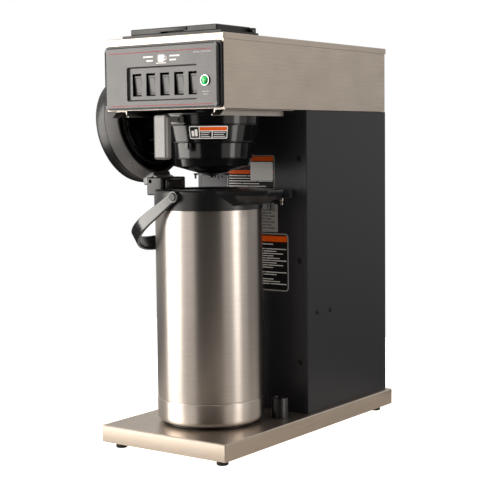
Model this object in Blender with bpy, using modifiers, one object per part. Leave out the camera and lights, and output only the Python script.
"""Commercial airpot coffee brewer: a pour-in brewer on a narrow base with its funnel and thermal airpot.

Lengths are in metres. The design frame has +Z up, the front of the brewer towards -Y, X measured from the
middle of the machine, Y from the front edge of the base and Z from the surface that the feet stand on.
At the end everything is moved by one empty so that the origin is under the middle of the whole.
"""

import math

import bmesh
import bpy
from mathutils import Matrix, Vector

MM = 0.001
GAP = 0.3 * MM            # air left between two pieces that touch
SHEET = 1.2 * MM          # stainless and painted sheet
RUN = 0.1 * MM            # radial clearance of a pin in its hole
ROUND, SMALL = 32, 16     # sides of the large and the small turned pieces

# Base and feet
BASE_W, BASE_D, BASE_H = 229 * MM, 470 * MM, 25 * MM
FOOT_H, FOOT_R, FOOT_INSET = 10 * MM, 9 * MM, 21 * MM
DECK_Z = FOOT_H + BASE_H
POST_X, POST_Y, POST_R, POST_H = 78.8 * MM, 186.5 * MM, 12.7 * MM, 31 * MM

# Trunk behind the airpot
TRUNK_HALF, TRUNK_Y0, TRUNK_Y1 = 103.7 * MM, 227.5 * MM, 466.5 * MM
TRUNK_FLANGE = 7 * MM
BRACKET_X, BRACKET_Z = 65.6 * MM, 371.4 * MM

# Hood
HOOD_HALF, HOOD_Y0, HOOD_Y1 = 106 * MM, 18.6 * MM, 461 * MM
HOOD_Z0, HOOD_Z1 = 497.4 * MM, 591.4 * MM
LID_Z1, LID_Y1 = 600.3 * MM, 465 * MM
TRUNK_Z0, TRUNK_Z1 = DECK_Z + GAP, HOOD_Z0 - GAP

# Control panel on the front of the hood
PANEL_HALF, PANEL_Z0, PANEL_Z1 = 101.5 * MM, 499.5 * MM, 587 * MM
PANEL_Y0, PANEL_Y1 = 9 * MM, 13.7 * MM
RECESS_X0, RECESS_X1, RECESS_Z0, RECESS_Z1 = -60 * MM, 66.8 * MM, 510 * MM, 558.5 * MM
RECESS_DEPTH = 3.9 * MM
SWITCHES = 5
SWITCH_PITCH, SWITCH_MID_X, SWITCH_Z = 25.4 * MM, 6.5 * MM, 533 * MM
SWITCH_HOLE_W, SWITCH_HOLE_H = 16.5 * MM, 32 * MM
ROCKER_W, ROCKER_H, ROCKER_D = 15.3 * MM, 28.2 * MM, 9 * MM
ROCKER_FACE_Y, ROCKER_PIVOT_Y = 16.8 * MM, 22.5 * MM
ROCKER_TILT = 5           # degrees each side of flat
LAMP_X, LAMP_Z, LAMP_R = 81.7 * MM, 535.6 * MM, 7.5 * MM

# Fill opening on top
FILL_HALF, FILL_Y0, FILL_Y1, FILL_Z1 = 89.3 * MM, 35 * MM, 125 * MM, 605.5 * MM
FILL_LID_HALF, FILL_LID_Y0, FILL_LID_Z1 = 78 * MM, 40 * MM, 614.5 * MM
FILL_HINGE_Y, FILL_HINGE_Z = 119 * MM, 609 * MM

# Brew funnel, its rails and its handle
FUNNEL_Y = 128 * MM
FUNNEL_TIERS = (          # outer radius and height, from the lip down to the outlet
    (78.4, 493.0), (78.4, 490.5), (74.7, 490.5), (73.8, 477.0), (75.4, 477.0), (75.4, 475.2), (72.5, 475.2),
    (67.3, 452.0), (69.0, 452.0), (69.0, 450.4), (63.1, 450.4), (60.7, 428.5), (62.4, 428.5), (62.4, 427.0),
    (59.3, 427.0), (56.3, 416.0), (6.0, 401.5), (6.0, 398.5),
)
FUNNEL_BORE = (           # inner radius and height, from the outlet back up to the lip
    (3.5, 398.5), (3.5, 404.5), (53.3, 418.8), (57.6, 430.0), (64.3, 454.0), (70.4, 478.0), (71.6, 493.0),
)
RAIL_Y0, RAIL_Y1 = 30 * MM, 200 * MM
HANDLE_HALF, HANDLE_Y0, HANDLE_Y1 = 12 * MM, 8 * MM, 21 * MM
HANDLE_Z0, HANDLE_Z1 = 427 * MM, 490 * MM

# Airpot
POT_Y, POT_R = 119 * MM, 80 * MM
POT_Z0, POT_SEAM_Z, POT_STEEL_Z, COLLAR_Z = 38.8 * MM, 73.5 * MM, 353 * MM, 382.5 * MM
NECK_R = 30 * MM
BEAK_X, BEAK_Z0 = 121.5 * MM, 364 * MM
BAIL_X, BAIL_Z, BAIL_DROP = 3 * MM, 373.5 * MM, 34   # pivot, and degrees that the bail hangs below level
BAIL_HALF, BAIL_STRAIGHT, BAIL_REACH, BAIL_T = 86.5 * MM, 58 * MM, 138.5 * MM, 4.5 * MM
HINGE_X, HINGE_Z, LID_OPEN = -88 * MM, 393 * MM, 102    # axis of the airpot lid, and degrees it stands open
LID_OFF = -HINGE_X        # middle of the closed lid from its hinge


# ---------------------------------------------------------------- helpers

def clear_scene():
    for obj in list(bpy.data.objects):
        bpy.data.objects.remove(obj, do_unlink=True)


def new_collection(name):
    collection = bpy.data.collections.new(name)
    bpy.context.scene.collection.children.link(collection)
    return collection


def material(name, colour, roughness, metallic=0.0):
    mat = bpy.data.materials.new(name)
    mat.use_nodes = True
    shader = mat.node_tree.nodes["Principled BSDF"]
    shader.inputs["Base Color"].default_value = (*colour, 1.0)
    shader.inputs["Roughness"].default_value = roughness
    shader.inputs["Metallic"].default_value = metallic
    return mat


def empty(name, location, parent=None, rotation=(0.0, 0.0, 0.0)):
    obj = bpy.data.objects.new(name, None)
    PARTS.objects.link(obj)
    obj.location = location
    obj.rotation_euler = [math.radians(a) for a in rotation]
    obj.parent = parent
    return obj


def place(obj, parent, mat, location=(0.0, 0.0, 0.0)):
    """Puts a finished object in the parts collection under its parent, with its material."""
    for collection in list(obj.users_collection):
        collection.objects.unlink(obj)
    PARTS.objects.link(obj)
    obj.parent = parent
    obj.location = location
    obj.data.materials.append(mat)
    return obj


def mesh_object(name, bm):
    mesh = bpy.data.meshes.new(name)
    bm.to_mesh(mesh)
    bm.free()
    obj = bpy.data.objects.new(name, mesh)
    TOOLS.objects.link(obj)
    return obj


def box(name, low, high, bevel=0.0, segments=1):
    """A box between two opposite corners, with its edges rounded when bevel is given."""
    size = [b - a for a, b in zip(low, high)]
    middle = [(a + b) / 2 for a, b in zip(low, high)]
    bm = bmesh.new()
    bmesh.ops.create_cube(bm, size=1.0, matrix=Matrix.Translation(middle) @ Matrix.Diagonal((*size, 1.0)))
    obj = mesh_object(name, bm)
    if bevel:
        add_bevel(obj, bevel, segments)
    return obj


def add_bevel(obj, width, segments=1):
    bevel = obj.modifiers.new("Bevel", "BEVEL")
    bevel.width = width
    bevel.segments = segments
    bevel.limit_method = "ANGLE"
    return obj


def open_box(name, low, high, thickness, open_side, bevel=0.0):
    """A sheet-metal box with one side missing (-1 the bottom, 1 the top, 0 both), its sheet inside the size."""
    obj = box(name, low, high)
    bm = bmesh.new()
    bm.from_mesh(obj.data)
    gone = [f for f in bm.faces if abs(f.normal.z) > 0.5 and (open_side == 0 or f.normal.z * open_side > 0)]
    bmesh.ops.delete(bm, geom=gone, context="FACES_ONLY")
    bm.to_mesh(obj.data)
    bm.free()
    if bevel:
        add_bevel(obj, bevel)
    solid = obj.modifiers.new("Sheet", "SOLIDIFY")
    solid.thickness = thickness
    solid.offset = -1
    return obj


def turned(name, profile, segments=ROUND):
    """A turned piece about Z. The profile of (radius, height) runs down the outer side; it closes on itself
    unless both its ends lie on the axis."""
    bm = bmesh.new()
    points = [bm.verts.new((r, 0.0, z)) for r, z in profile]
    pairs = list(zip(points, points[1:]))
    if profile[0][0] > 0 or profile[-1][0] > 0:
        pairs.append((points[-1], points[0]))
    for a, b in pairs:
        bm.edges.new((a, b))
    obj = mesh_object(name, bm)
    screw = obj.modifiers.new("Screw", "SCREW")
    screw.steps = screw.render_steps = segments
    screw.use_merge_vertices = True
    screw.merge_threshold = 0.00001
    screw.use_smooth_shade = True
    return obj


def disc(name, radius, z0, z1, segments=ROUND, bore=0.0):
    """A cylinder, or a ring when it has a bore, standing on Z."""
    if bore:
        return turned(name, [(radius, z1), (radius, z0), (bore, z0), (bore, z1)], segments)
    return turned(name, [(0.0, z1), (radius, z1), (radius, z0), (0.0, z0)], segments)


def outline(name, points, z0, z1):
    """A flat outline of (x, y) points, filled and extruded between two heights."""
    curve = bpy.data.curves.new(name, "CURVE")
    curve.dimensions = "2D"
    curve.fill_mode = "BOTH"
    curve.extrude = (z1 - z0) / 2
    spline = curve.splines.new("POLY")
    spline.points.add(len(points) - 1)
    for point, (x, y) in zip(spline.points, points):
        point.co = (x, y, 0.0, 1.0)
    spline.use_cyclic_u = True
    obj = bpy.data.objects.new(name, curve)
    TOOLS.objects.link(obj)
    return moved(as_mesh(obj), Matrix.Translation((0.0, 0.0, (z0 + z1) / 2)))


def rounded(x0, y0, x1, y1, radius, steps=4):
    """The points of a rectangle with round corners."""
    points = []
    corners = ((x1 - radius, y1 - radius, 0), (x0 + radius, y1 - radius, 90),
               (x0 + radius, y0 + radius, 180), (x1 - radius, y0 + radius, 270))
    for cx, cy, start in corners:
        for i in range(steps + 1):
            angle = math.radians(start + 90 * i / steps)
            points.append((cx + radius * math.cos(angle), cy + radius * math.sin(angle)))
    return points


def tube(name, points, radius, resolution=2):
    """A round rod along straight runs between points."""
    curve = bpy.data.curves.new(name, "CURVE")
    curve.dimensions = "3D"
    curve.bevel_depth = radius
    curve.bevel_resolution = resolution
    curve.use_fill_caps = True
    spline = curve.splines.new("POLY")
    spline.points.add(len(points) - 1)
    for point, co in zip(spline.points, points):
        point.co = (*co, 1.0)
    obj = bpy.data.objects.new(name, curve)
    TOOLS.objects.link(obj)
    return as_mesh(obj)


def as_mesh(obj):
    """Turns a curve into a closed mesh object of the same name."""
    bpy.context.view_layer.update()
    graph = bpy.context.evaluated_depsgraph_get()
    name = obj.name
    mesh = bpy.data.meshes.new_from_object(obj.evaluated_get(graph))
    bm = bmesh.new()
    bm.from_mesh(mesh)
    bmesh.ops.remove_doubles(bm, verts=bm.verts, dist=0.000001)
    bmesh.ops.recalc_face_normals(bm, faces=bm.faces)
    bm.to_mesh(mesh)
    bm.free()
    bpy.data.objects.remove(obj, do_unlink=True)
    made = bpy.data.objects.new(name, mesh)
    TOOLS.objects.link(made)
    return made


def moved(obj, matrix):
    obj.data.transform(matrix)
    return obj


def boolean(obj, other, operation):
    """Cuts the other object out of this one, or joins it on, and keeps the other as a hidden tool."""
    step = obj.modifiers.new(operation.title(), "BOOLEAN")
    step.operation = operation
    step.object = other
    step.solver = "EXACT"
    other.parent = obj
    other.hide_render = True
    other.display_type = "WIRE"
    return obj


def cut(obj, other):
    return boolean(obj, other, "DIFFERENCE")


def join(obj, other):
    return boolean(obj, other, "UNION")


def pointing(obj, direction):
    """Turns a piece that is made about Z so that its top points to -Y, +Y or +X."""
    turns = {"-Y": (90, 0, 0), "+Y": (-90, 0, 0), "+X": (0, 90, 0)}
    obj.rotation_euler = [math.radians(a) for a in turns[direction]]
    return obj


def at(obj, location):
    obj.location = location
    return obj


def rod_y(name, x, z, y0, y1, radius, segments=SMALL):
    """A cylinder along Y."""
    return at(pointing(disc(name, radius, -y1, -y0, segments), "-Y"), (x, 0.0, z))


def rod_x(name, half, radius, location, segments=SMALL):
    """A cylinder along X, centred on its place."""
    return at(pointing(disc(name, radius, -half, half, segments), "+X"), location)


# ---------------------------------------------------------------- base

def build_base(root, steel, rubber, plastic):
    tray = open_box("base_tray", (-BASE_W / 2, 0.0, FOOT_H), (BASE_W / 2, BASE_D, DECK_Z), SHEET, -1, 1.5 * MM)
    place(tray, root, steel)
    for side, sx in (("left", -1), ("right", 1)):
        for end, y in (("front", FOOT_INSET), ("rear", BASE_D - FOOT_INSET)):
            profile = [(0, DECK_Z - SHEET - GAP), (5 * MM, DECK_Z - SHEET - GAP), (5 * MM, FOOT_H),
                       (FOOT_R + 1 * MM, FOOT_H - 1 * MM), (FOOT_R, 1 * MM), (FOOT_R - 1 * MM, 0), (0, 0)]
            foot = turned(f"foot_{end}_{side}", profile, SMALL)
            place(foot, root, rubber, (sx * (BASE_W / 2 - FOOT_INSET), y, 0.0))
        profile = [(0, POST_H), (POST_R - 1 * MM, POST_H), (POST_R, POST_H - 1 * MM), (POST_R, GAP), (0, GAP)]
        post = turned(f"airpot_post_{side}", profile, SMALL)
        place(post, root, plastic, (sx * POST_X, POST_Y, DECK_Z))


# ---------------------------------------------------------------- trunk

def build_trunk(root, paint, steel, plastic):
    inner = TRUNK_HALF - TRUNK_FLANGE
    wall = box("trunk_front_wall", (-inner + GAP, TRUNK_Y0, TRUNK_Z0), (inner - GAP, TRUNK_Y0 + SHEET, TRUNK_Z1))
    place(wall, root, paint)
    rear_y = TRUNK_Y1 - SHEET - GAP
    for side, sx in (("left", -1), ("right", 1)):
        points = [(inner, TRUNK_Y0), (TRUNK_HALF - 1 * MM, TRUNK_Y0), (TRUNK_HALF, TRUNK_Y0 + 1 * MM),
                  (TRUNK_HALF, rear_y), (TRUNK_HALF - SHEET, rear_y), (TRUNK_HALF - SHEET, TRUNK_Y0 + SHEET),
                  (inner, TRUNK_Y0 + SHEET)]
        cover = outline(f"trunk_{side}_cover", [(sx * x, y) for x, y in points], TRUNK_Z0, TRUNK_Z1)
        place(cover, root, paint)
    rear = box("trunk_rear_cover", (-TRUNK_HALF, TRUNK_Y1 - SHEET, TRUNK_Z0), (TRUNK_HALF, TRUNK_Y1, TRUNK_Z1))
    gland_x, gland_z, gland_r = 60 * MM, 75 * MM, 9 * MM
    cut(rear, rod_y("gland_hole", gland_x, gland_z, TRUNK_Y1 - 10 * MM, TRUNK_Y1 + 10 * MM, gland_r + GAP))
    place(rear, root, paint)
    profile = [(11 * MM, 8 * MM), (13 * MM, 6 * MM), (13 * MM, GAP), (gland_r, GAP), (gland_r, -14 * MM),
               (5 * MM, -14 * MM), (5 * MM, 8 * MM)]
    gland = pointing(turned("cord_gland", profile, SMALL), "+Y")
    place(gland, root, plastic, (gland_x, TRUNK_Y1, gland_z))

    bracket = box("trunk_bracket", (-14 * MM, -10 * MM, -6.5 * MM), (14 * MM, -GAP, 6.5 * MM), 1 * MM)
    pin_x = -4.2 * MM
    cut(bracket, at(disc("pin_hole", 2.6 * MM, -10 * MM, 3 * MM, SMALL), (pin_x, -5 * MM, 0)))
    place(bracket, root, paint, (BRACKET_X, TRUNK_Y0, BRACKET_Z))
    profile = [(0, 2 * MM), (2.3 * MM, 2 * MM), (2.3 * MM, -7 * MM), (3.6 * MM, -7 * MM), (3.6 * MM, -10 * MM),
               (2.4 * MM, -12 * MM), (2.4 * MM, -17 * MM), (0, -17 * MM)]
    pin = turned("bracket_pin", profile, SMALL)
    place(pin, root, steel, (BRACKET_X + pin_x, TRUNK_Y0 - 5 * MM, BRACKET_Z))


def build_water_system(root, steel, plastic, board):
    """Tank, heater, tubes and controls inside the trunk and the hood."""
    tank_z0, tank_z1 = 245 * MM, 480 * MM
    tank = open_box("water_tank", (-84 * MM, 250 * MM, tank_z0), (84 * MM, 440 * MM, tank_z1), SHEET, 1, 6 * MM)
    place(tank, root, steel)
    lid = box("tank_lid", (-86 * MM, 248 * MM, tank_z1 + GAP), (86 * MM, 442 * MM, tank_z1 + 3 * MM))
    for i, x in enumerate((-30 * MM, 30 * MM)):
        cut(lid, at(disc(f"tube_hole_{i}", 6.5 * MM, tank_z1 - 5 * MM, tank_z1 + 9 * MM, SMALL), (x, 345 * MM, 0)))
    place(lid, root, steel)
    top = tank_z1 - 1 * MM
    loop = [(40 * MM * math.cos(a), 300 * MM, 300 * MM - 40 * MM * math.sin(a))
            for a in (math.pi * i / 12 for i in range(13))]
    heater = tube("tank_heater", [(40 * MM, 300 * MM, top), *loop, (-40 * MM, 300 * MM, top)], 4 * MM)
    place(heater, root, steel)
    hood_z = HOOD_Z0 + 18 * MM
    spray = [(-30 * MM, 345 * MM, tank_z1 - 4 * MM), (-30 * MM, 345 * MM, hood_z), (0, 315 * MM, hood_z),
             (0, FUNNEL_Y + 8 * MM, hood_z), (0, FUNNEL_Y, hood_z - 8 * MM), (0, FUNNEL_Y, HOOD_Z0 + 0.3 * MM)]
    place(tube("spray_tube", spray, 5 * MM), root, steel)
    fill = [(30 * MM, 112 * MM, 548 * MM), (30 * MM, 112 * MM, 535 * MM), (30 * MM, 345 * MM, 520 * MM),
            (30 * MM, 345 * MM, tank_z1 - 4 * MM)]
    place(tube("fill_tube", fill, 5 * MM), root, plastic)
    sprayhead = disc("sprayhead", 28 * MM, HOOD_Z0 - 2.9 * MM, HOOD_Z0 - GAP, ROUND)
    place(sprayhead, root, plastic, (0, FUNNEL_Y, 0))
    place(box("thermostat", (-20 * MM, 244 * MM, 150 * MM), (20 * MM, 262 * MM, 185 * MM), 1 * MM), root, plastic)
    place(box("terminal_block", (-30 * MM, 380 * MM, 60 * MM), (30 * MM, 400 * MM, 84 * MM), 1 * MM), root, plastic)
    place(box("timer_board", (-60 * MM, 52 * MM, 506 * MM), (60 * MM, 53.6 * MM, 552 * MM)), root, board)


# ---------------------------------------------------------------- hood

def build_hood(root, steel, paint):
    shell = open_box("hood_shell", (-HOOD_HALF, HOOD_Y0, HOOD_Z0), (HOOD_HALF, HOOD_Y1, HOOD_Z1), SHEET, 0)
    window = box("hood_window", (RECESS_X0, 0, RECESS_Z0), (RECESS_X1, 30 * MM, RECESS_Z1))
    cut(shell, window)
    cut(shell, rod_y("hood_lamp_hole", LAMP_X, LAMP_Z, 5 * MM, 30 * MM, LAMP_R))
    place(shell, root, steel)
    top = open_box("hood_lid", (-HOOD_HALF - GAP, HOOD_Y0, HOOD_Z1 + GAP), (HOOD_HALF + GAP, LID_Y1, LID_Z1),
                   SHEET, -1, 1 * MM)
    cut(top, box("fill_cut", (-FILL_HALF + 12 * MM, FILL_Y0 + 8 * MM, LID_Z1 - 6 * MM),
                 (FILL_HALF - 12 * MM, FILL_Y1 - 12 * MM, LID_Z1 + 6 * MM)))
    place(top, root, steel)
    inset = SHEET + GAP
    floor = box("hood_floor", (-HOOD_HALF + inset, HOOD_Y0 + inset, HOOD_Z0),
                (HOOD_HALF - inset, TRUNK_Y0, HOOD_Z0 + SHEET))
    cut(floor, at(disc("spray_hole", 6 * MM, HOOD_Z0 - 5 * MM, HOOD_Z0 + 6 * MM, SMALL), (0, FUNNEL_Y, 0)))
    place(floor, root, paint)


def build_rails(root, steel):
    """Two stepped strips under the hood that carry the lip of the funnel, each with a lead-in ramp."""
    top = HOOD_Z0 - GAP
    step, lip, edge, outer = 81 * MM, 75.6 * MM, 79.6 * MM, 99 * MM
    section = [(outer, top), (outer, top - SHEET), (step, top - SHEET), (step, 488.2 * MM), (lip, 488.2 * MM),
               (lip, 489.4 * MM), (edge, 489.4 * MM), (edge, top)]
    for side, sx in (("left", -1), ("right", 1)):
        rail = outline(f"funnel_rail_{side}", [(sx * x, z) for x, z in section], RAIL_Y0, RAIL_Y1)
        moved(rail, Matrix(((1, 0, 0, 0), (0, 0, 1, 0), (0, 1, 0, 0), (0, 0, 0, 1))))
        flip_faces(rail)
        ramp = box(f"ramp_{side}", (-7 * MM, -13 * MM, -SHEET), (7 * MM, 1 * MM, 0))
        bend = Matrix.Translation((sx * 91 * MM, RAIL_Y0, top - 0.9 * MM)) @ Matrix.Rotation(math.radians(38), 4, "X")
        moved(ramp, bend)
        join(rail, ramp)
        place(rail, root, steel)


def flip_faces(obj):
    bm = bmesh.new()
    bm.from_mesh(obj.data)
    bmesh.ops.recalc_face_normals(bm, faces=bm.faces)
    bm.to_mesh(obj.data)
    bm.free()


def build_fill(root, plastic, steel):
    """The plastic frame on top, its hinged lid and the basin under it."""
    frame = open_box("fill_frame", (-FILL_HALF, FILL_Y0, LID_Z1 + GAP), (FILL_HALF, FILL_Y1, FILL_Z1),
                     10 * MM, 0)
    for sx in (-1, 1):
        ear = box(f"fill_ear_{sx}", (sx * 82.5 * MM - 3.5 * MM, FILL_HINGE_Y - 4.5 * MM, LID_Z1 + 1 * MM),
                  (sx * 82.5 * MM + 3.5 * MM, FILL_HINGE_Y + 4.5 * MM, FILL_HINGE_Z + 3.8 * MM))
        join(frame, ear)
    relief = box("fill_hinge_relief", (-FILL_LID_HALF - 0.5 * MM, FILL_HINGE_Y - 8 * MM, FILL_Z1 - 1.2 * MM),
                 (FILL_LID_HALF + 0.5 * MM, FILL_HINGE_Y + 10 * MM, FILL_Z1 + 9 * MM))
    cut(frame, relief)
    cut(frame, rod_x("fill_pin_hole", 95 * MM, 2 * MM, (0, FILL_HINGE_Y, FILL_HINGE_Z)))
    place(frame, root, plastic)
    basin = open_box("fill_basin", (-74 * MM, FILL_Y0 + 11 * MM, 556 * MM), (74 * MM, FILL_Y1 - 15 * MM, 598 * MM),
                     1.5 * MM, 1, 3 * MM)
    cut(basin, at(disc("drain", 4 * MM, 550 * MM, 560 * MM, SMALL), (30 * MM, 100 * MM, 0)))
    place(basin, root, plastic)
    pivot = empty("fill_lid_pivot", (0, FILL_HINGE_Y, FILL_HINGE_Z), root)
    z0 = FILL_Z1 + 0.5 * MM - FILL_HINGE_Z
    reach = FILL_LID_Y0 - FILL_HINGE_Y
    lid = box("fill_lid", (-FILL_LID_HALF, reach, z0), (FILL_LID_HALF, 2.8 * MM, FILL_LID_Z1 - FILL_HINGE_Z), 1 * MM)
    cut(lid, box("finger_recess", (-22 * MM, reach - 1 * MM, z0 - 1 * MM), (22 * MM, reach + 9 * MM, z0 + 5 * MM)))
    cut(lid, rod_x("fill_lid_hole", 90 * MM, 1.6 * MM, (0, 0, 0)))
    place(lid, pivot, plastic)
    hinge = (0, FILL_HINGE_Y, FILL_HINGE_Z)
    place(rod_x("fill_lid_pin", 85.5 * MM, 1.5 * MM, hinge), root, steel, hinge)


# ---------------------------------------------------------------- control panel

def plate_xz(name, half, z0, z1, y0, y1, radius):
    """An upright plate with round corners facing -Y."""
    plate = outline(name, rounded(-half, -z1, half, -z0, radius), y0, y1)
    return moved(plate, Matrix.Rotation(math.radians(-90), 4, "X"))


def switch_centres():
    middle = (SWITCHES - 1) / 2
    return [SWITCH_MID_X + (i - middle) * SWITCH_PITCH for i in range(SWITCHES)]


def build_panel(root, grey, black, chrome, green):
    frame = plate_xz("panel_frame", PANEL_HALF + 3 * MM, PANEL_Z0 - 1.7 * MM, PANEL_Z1 + 3 * MM,
                     PANEL_Y1 + GAP, HOOD_Y0 - GAP, 6 * MM)
    cut(frame, box("frame_window", (RECESS_X0, 5 * MM, RECESS_Z0), (RECESS_X1, 30 * MM, RECESS_Z1)))
    cut(frame, rod_y("frame_lamp_hole", LAMP_X, LAMP_Z, 5 * MM, 30 * MM, LAMP_R))
    place(frame, root, black)

    bezel = plate_xz("panel_bezel", PANEL_HALF, PANEL_Z0, PANEL_Z1, PANEL_Y0, PANEL_Y1, 5 * MM)
    cut(bezel, box("recess", (RECESS_X0, 0, RECESS_Z0), (RECESS_X1, PANEL_Y0 + RECESS_DEPTH, RECESS_Z1), 2 * MM, 1))
    for i, x in enumerate(switch_centres()):
        hole = box(f"switch_hole_{i}", (x - SWITCH_HOLE_W / 2, 5 * MM, SWITCH_Z - SWITCH_HOLE_H / 2),
                   (x + SWITCH_HOLE_W / 2, 20 * MM, SWITCH_Z + SWITCH_HOLE_H / 2))
        cut(bezel, hole)
    cut(bezel, rod_y("bezel_lamp_hole", LAMP_X, LAMP_Z, 5 * MM, 20 * MM, LAMP_R - 0.2 * MM))
    place(bezel, root, grey)

    housing = box("switch_housing", (RECESS_X0 + GAP, PANEL_Y1 + GAP, RECESS_Z0 + GAP),
                  (RECESS_X1 - GAP, 42 * MM, RECESS_Z1 - GAP))
    for i, x in enumerate(switch_centres()):
        cut(housing, box(f"pocket_{i}", (x - SWITCH_HOLE_W / 2, 10 * MM, SWITCH_Z - SWITCH_HOLE_H / 2),
                         (x + SWITCH_HOLE_W / 2, 36 * MM, SWITCH_Z + SWITCH_HOLE_H / 2)))
    place(housing, root, black)
    for i, x in enumerate(switch_centres()):
        pivot = empty(f"rocker_pivot_{i + 1}", (x, ROCKER_PIVOT_Y, SWITCH_Z), root, (ROCKER_TILT, 0, 0))
        front = ROCKER_FACE_Y - ROCKER_PIVOT_Y
        rocker = box(f"rocker_switch_{i + 1}", (-ROCKER_W / 2, front, -ROCKER_H / 2),
                     (ROCKER_W / 2, front + ROCKER_D, ROCKER_H / 2), 0.8 * MM)
        place(rocker, pivot, grey)

    ring = turned("lamp_bezel", [(LAMP_R, 11.2 * MM), (LAMP_R, 9.3 * MM), (6.9 * MM, 9.3 * MM), (6.9 * MM, -6 * MM),
                                 (6.2 * MM, -6 * MM), (6.2 * MM, 11.2 * MM)], SMALL)
    place(pointing(ring, "-Y"), root, chrome, (LAMP_X, PANEL_Y0 + 9 * MM, LAMP_Z))
    dome = [(5.9 * MM * math.sin(a), (10.5 + 2.6 * math.cos(a)) * MM) for a in (math.pi * i / 8 for i in range(5))]
    lens = turned("lamp_lens", [*dome, (5.9 * MM, -5 * MM), (0, -5 * MM)], SMALL)
    place(pointing(lens, "-Y"), root, green, (LAMP_X, PANEL_Y0 + 9 * MM, LAMP_Z))


# ---------------------------------------------------------------- funnel

def build_funnel(root, black, grey):
    slide = empty("funnel_slide", (0, FUNNEL_Y, 0), root)
    profile = [(r * MM, z * MM) for r, z in FUNNEL_TIERS + FUNNEL_BORE]
    place(turned("brew_funnel", profile, ROUND), slide, black)

    ring = disc("funnel_guard", 27 * MM, 402.6 * MM, 405 * MM, SMALL, 22 * MM)
    for i in range(3):
        angle = math.radians(210 + 120 * i)
        peg = at(disc(f"guard_peg_{i}", 1.6 * MM, 397 * MM, 404 * MM, SMALL),
                           (24.5 * MM * math.cos(angle), 24.5 * MM * math.sin(angle), 0))
        join(ring, peg)
    place(ring, slide, black)

    handle_y = -FUNNEL_Y
    grip = box("funnel_handle", (-HANDLE_HALF, handle_y + HANDLE_Y0, HANDLE_Z0),
               (HANDLE_HALF, handle_y + HANDLE_Y1, HANDLE_Z1), 3.5 * MM, 2)
    web = box("handle_web", (-9 * MM, handle_y + HANDLE_Y1 - 4 * MM, 480 * MM),
              (9 * MM, handle_y + 43 * MM, HANDLE_Z1 - 2 * MM))
    plate = box("handle_plate", (-11 * MM, handle_y + 40 * MM, 478 * MM), (11 * MM, handle_y + 46 * MM, HANDLE_Z1))
    foot = box("handle_foot", (-9 * MM, handle_y + 42 * MM, 479 * MM), (9 * MM, handle_y + 51 * MM, 488 * MM))
    for piece in (web, plate, foot):
        join(grip, piece)
    place(grip, slide, grey)


# ---------------------------------------------------------------- airpot

def build_airpot_body(dock, steel, black, liner_steel):
    place(disc("airpot_base", 72 * MM, DECK_Z + GAP, POT_Z0 - GAP, ROUND), dock, black)
    wall = 1 * MM
    groove = 1 * MM
    outer = [(POT_R - 0.6 * MM, POT_STEEL_Z), (POT_R - 0.4 * MM, POT_SEAM_Z + groove), (POT_R - groove, POT_SEAM_Z),
             (POT_R, POT_SEAM_Z - groove), (POT_R, POT_Z0 + 9 * MM), (POT_R - 2 * MM, POT_Z0 + 3 * MM),
             (POT_R - 7 * MM, POT_Z0), (0, POT_Z0)]
    inner = [(0, POT_Z0 + wall), (POT_R - 8 * MM, POT_Z0 + wall), (POT_R - 3 * MM, POT_Z0 + 4 * MM),
             (POT_R - 2 * MM, POT_Z0 + 10 * MM), (POT_R - 2 * MM, POT_STEEL_Z)]
    place(cup("airpot_shell", outer, inner), dock, steel)
    outer = [(NECK_R + wall, 364 * MM), (NECK_R + wall, 340 * MM), (70 * MM, 312 * MM), (70 * MM, 56 * MM),
             (64 * MM, 50 * MM), (0, 50 * MM)]
    inner = [(0, 51 * MM), (63 * MM, 51 * MM), (69 * MM, 57 * MM), (69 * MM, 311 * MM), (NECK_R, 339 * MM),
             (NECK_R, 364 * MM)]
    place(cup("airpot_liner", outer, inner), dock, liner_steel)


def cup(name, outer, inner, segments=ROUND):
    """A turned vessel with an open top: outer profile down to the axis, inner profile back up."""
    return turned_open(name, [*outer, *inner], segments)


def turned_open(name, profile, segments):
    """A turned piece whose closed profile meets the axis along its base."""
    bm = bmesh.new()
    points = [bm.verts.new((r, 0.0, z)) for r, z in profile]
    axis = [i for i, (r, _) in enumerate(profile) if r == 0]
    for i, point in enumerate(points):
        following = points[(i + 1) % len(points)]
        if not (i in axis and (i + 1) % len(points) in axis):
            bm.edges.new((point, following))
    obj = mesh_object(name, bm)
    screw = obj.modifiers.new("Screw", "SCREW")
    screw.steps = screw.render_steps = segments
    screw.use_merge_vertices = True
    screw.merge_threshold = 0.00001
    screw.use_smooth_shade = True
    return obj


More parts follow.
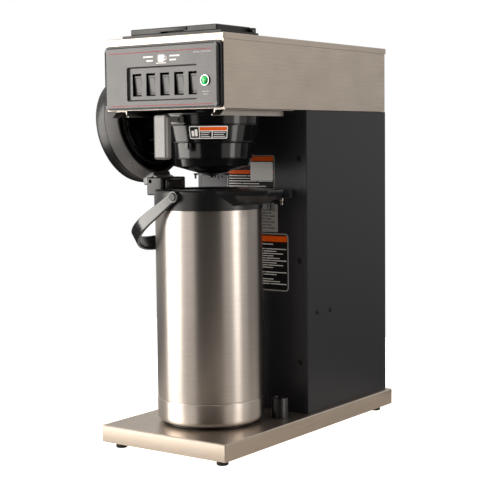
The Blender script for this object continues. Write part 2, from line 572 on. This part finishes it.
def build_collar(dock, black, steel):
    top, skirt = COLLAR_Z, POT_STEEL_Z + GAP
    profile = [(76 * MM, top), (79.5 * MM, top - 2 * MM), (80.5 * MM, top - 6 * MM), (80.5 * MM, skirt),
               (76 * MM, skirt), (76 * MM, top - 5 * MM), (38 * MM, top - 9 * MM), (38 * MM, 350 * MM),
               (NECK_R + 1.4 * MM, 350 * MM), (NECK_R + 1.4 * MM, top - 3 * MM), (52 * MM, top - 3 * MM), (54 * MM, top)]
    collar = turned("airpot_collar", profile, ROUND)
    beak = beak_block("beak")
    join(collar, beak)
    for side, sy in (("near", -1), ("far", 1)):
        a, b = sorted((sy * 74 * MM, sy * 83.8 * MM))
        join(collar, rod_y(f"bail_boss_{side}", BAIL_X, BAIL_Z, a, b, 8.5 * MM))
        a, b = sorted((sy * 78.5 * MM, sy * 90 * MM))
        cut(collar, rod_y(f"bail_boss_hole_{side}", BAIL_X, BAIL_Z, a, b, 3.3 * MM))
        ear = box(f"hinge_ear_{side}", (HINGE_X - 7 * MM, sy * 25 * MM - 4 * MM, 372 * MM),
                  (HINGE_X + 22 * MM, sy * 25 * MM + 4 * MM, HINGE_Z + 6 * MM))
        join(collar, ear)
    tower = box("hinge_tower", (-72 * MM, -26 * MM, top - 4 * MM), (-44 * MM, 26 * MM, 396 * MM), 2 * MM, 1)
    join(collar, tower)
    cut(collar, rod_y("hinge_pin_hole", HINGE_X, HINGE_Z, -40 * MM, 40 * MM, 3.3 * MM))
    lug = box("tube_lug", (14 * MM, -7 * MM, 366 * MM), (36 * MM, 7 * MM, 374 * MM))
    join(collar, lug)
    cut(collar, at(disc("tube_lug_hole", 4.4 * MM, 360 * MM, 380 * MM, SMALL), (20 * MM, 0, 0)))
    place(collar, dock, black)
    place(tube("siphon_tube", [(20 * MM, 0, 60 * MM), (20 * MM, 0, 376 * MM)], 4 * MM), dock, steel)
    spout = disc("airpot_spout", 5 * MM, 353 * MM, BEAK_Z0 - GAP, SMALL, 3 * MM)
    place(spout, dock, black, (112 * MM, 0, 0))
    pin = rod_y("lid_hinge_pin", HINGE_X, HINGE_Z, -29 * MM, 29 * MM, 3 * MM)
    place(pin, dock, steel, (HINGE_X, 0, HINGE_Z))


def beak_block(name):
    """The pouring beak: a wedge that leaves the collar wide and ends in a blunt nose."""
    bm = bmesh.new()
    bmesh.ops.create_cube(bm, size=1.0)
    root_x, top = 45 * MM, COLLAR_Z
    for vert in bm.verts:
        nose = vert.co.x > 0
        upper = vert.co.z > 0
        half = 19 * MM if nose else 58 * MM
        bottom = BEAK_Z0 if nose else BEAK_Z0 + 6 * MM
        vert.co = Vector((BEAK_X if nose else root_x, math.copysign(half, vert.co.y), top - 0.4 * MM if upper else bottom))
    obj = mesh_object(name, bm)
    add_bevel(obj, 2.5 * MM, 2)
    cut_inner = disc("beak_inner", 77 * MM, 340 * MM, COLLAR_Z - 4 * MM, ROUND)
    return cut(obj, cut_inner)


def build_bail(dock, dark, steel):
    """The carrying handle: a flat strap from pivot to pivot round the back of the airpot."""
    pivot = empty("bail_pivot", (BAIL_X, 0, BAIL_Z), dock, (0, -BAIL_DROP, 0))
    steps = 14
    length = BAIL_REACH - BAIL_STRAIGHT
    path = []
    for offset in (0.0, BAIL_T):
        arc = [(-(BAIL_STRAIGHT + (length - offset) * math.sin(math.pi * i / steps)),
                -(BAIL_HALF + 2 * MM - offset) * math.cos(math.pi * i / steps)) for i in range(steps + 1)]
        ends = BAIL_HALF + 2 * MM - offset
        path.append([(8 * MM, -ends), *arc, (8 * MM, ends)])
    points = path[0] + path[1][::-1]
    strap = outline("bail_handle", points, -10 * MM, 10 * MM)
    for vert in strap.data.vertices:
        share = min(1.0, max(0.0, -vert.co.x / BAIL_REACH))
        vert.co.z *= 0.72 + 0.45 * share
    bore = 3 * MM + RUN
    cut(strap, rod_y("bail_bore", 0, 0, -100 * MM, 100 * MM, bore))
    place(strap, pivot, dark)
    for side, sy in (("near", -1), ("far", 1)):
        head, shank = BAIL_HALF + 2.5 * MM, 79.5 * MM
        profile = [(0, head + 2 * MM), (5.5 * MM, head + 2 * MM), (6.5 * MM, head), (3 * MM, head), (3 * MM, shank), (0, shank)]
        pin = pointing(turned(f"bail_pin_{side}", profile, SMALL), "-Y" if sy < 0 else "+Y")
        place(pin, dock, steel, (BAIL_X, 0, BAIL_Z))


def build_lid(dock, black, grey, rubber):
    """The airpot lid, modelled closed about its hinge and turned open by its pivot."""
    pivot = empty("lid_pivot", (HINGE_X, 0, HINGE_Z), dock, (0, -LID_OPEN, 0))
    centre = (LID_OFF, 0, 0)
    shell = [(36.5 * MM, 50 * MM), (64 * MM, 49 * MM), (77 * MM, 44 * MM), (83 * MM, 36 * MM), (82.4 * MM, 21.9 * MM),
             (79.5 * MM, 21.9 * MM), (80 * MM, 35 * MM), (74.5 * MM, 42 * MM), (62 * MM, 46 * MM), (36.5 * MM, 47 * MM)]
    place(turned("airpot_lid", shell, ROUND), pivot, black, centre)
    band = turned("lid_rim", [(82 * MM, 21.5 * MM), (75.2 * MM, 3 * MM), (72.4 * MM, 3 * MM), (72.4 * MM, 21.5 * MM)], ROUND)
    knuckle = rod_y("knuckle", -LID_OFF, 0, -20 * MM, 20 * MM, 9 * MM)
    arm = box("knuckle_arm", (-LID_OFF - 2 * MM, -20 * MM, -2 * MM), (-LID_OFF + 14.5 * MM, 20 * MM, 21 * MM))
    join(band, knuckle)
    join(band, arm)
    cut(band, rod_y("knuckle_bore", -LID_OFF, 0, -30 * MM, 30 * MM, 3 * MM + RUN))
    place(band, pivot, grey, centre)
    stopper = turned("lid_stopper", [(0, 20.5 * MM), (72 * MM, 20.5 * MM), (72 * MM, 6.6 * MM), (52 * MM, 6.6 * MM),
                                     (50 * MM, 4.5 * MM), (46 * MM, 4.5 * MM), (44 * MM, 6.6 * MM), (0, 6.6 * MM)], ROUND)
    place(stopper, pivot, black, centre)
    place(disc("lid_gasket", 61 * MM, 3.4 * MM, 6.3 * MM, ROUND, 57.5 * MM), pivot, rubber, centre)
    button = [(0, 51.5 * MM), (26 * MM, 50.5 * MM), (32 * MM, 49 * MM), (34 * MM, 46 * MM), (34 * MM, 34 * MM),
              (31.5 * MM, 34 * MM), (31.5 * MM, 44.5 * MM), (24 * MM, 47.5 * MM), (0, 48.5 * MM)]
    place(turned_open("pump_button", button, ROUND), pivot, black, centre)


# ---------------------------------------------------------------- whole

def centre_on_origin(root):
    """Moves the assembly so that the origin is under the middle of everything that it holds."""
    bpy.context.view_layer.update()
    graph = bpy.context.evaluated_depsgraph_get()
    corners = []
    for obj in PARTS.objects:
        if obj.type == "MESH" and not obj.hide_render:
            seen = obj.evaluated_get(graph)
            corners += [seen.matrix_world @ v.co for v in seen.data.vertices]
    for axis in (0, 1):
        values = [c[axis] for c in corners]
        root.location[axis] = -(min(values) + max(values)) / 2


def weld_cut_pieces():
    """Merges the doubled points that Booleans leave along their seams."""
    for obj in PARTS.objects:
        if any(step.type == "BOOLEAN" for step in obj.modifiers):
            weld = obj.modifiers.new("Weld", "WELD")
            weld.merge_threshold = 0.00001
            obj.modifiers.new("Triangulate", "TRIANGULATE")


def smooth_round_pieces():
    for obj in PARTS.objects:
        if obj.type == "MESH":
            obj.data.shade_smooth()
            obj.data.set_sharp_from_angle(angle=math.radians(35))


def main():
    steel = material("brushed_stainless", (0.55, 0.51, 0.47), 0.35, 1.0)
    pot_steel = material("airpot_stainless", (0.62, 0.58, 0.55), 0.28, 1.0)
    paint = material("black_powder_coat", (0.02, 0.02, 0.022), 0.5)
    black = material("black_plastic", (0.015, 0.015, 0.016), 0.3)
    rubber = material("black_rubber", (0.012, 0.012, 0.012), 0.8)
    grey = material("grey_plastic", (0.4, 0.4, 0.4), 0.45)
    rim_grey = material("light_grey_plastic", (0.6, 0.59, 0.57), 0.45)
    chrome = material("chrome_plate", (0.8, 0.8, 0.8), 0.1, 1.0)
    green = material("green_lens", (0.0, 0.35, 0.1), 0.15)
    board = material("circuit_board", (0.02, 0.2, 0.06), 0.5)

    root = empty("brewer_origin", (0, 0, 0))
    build_base(root, steel, rubber, black)
    build_trunk(root, paint, steel, black)
    build_water_system(root, steel, black, board)
    build_hood(root, steel, paint)
    build_rails(root, steel)
    build_fill(root, black, steel)
    build_panel(root, grey, black, chrome, green)
    build_funnel(root, black, rim_grey)
    dock = empty("airpot_dock", (0, POT_Y, 0), root)
    build_airpot_body(dock, pot_steel, black, steel)
    build_collar(dock, black, steel)
    build_bail(dock, black, steel)
    build_lid(dock, black, rim_grey, rubber)
    weld_cut_pieces()
    smooth_round_pieces()
    centre_on_origin(root)


clear_scene()
PARTS = new_collection("commercial_coffee_brewer")
TOOLS = new_collection("cutters")
TOOLS.hide_render = True
main()
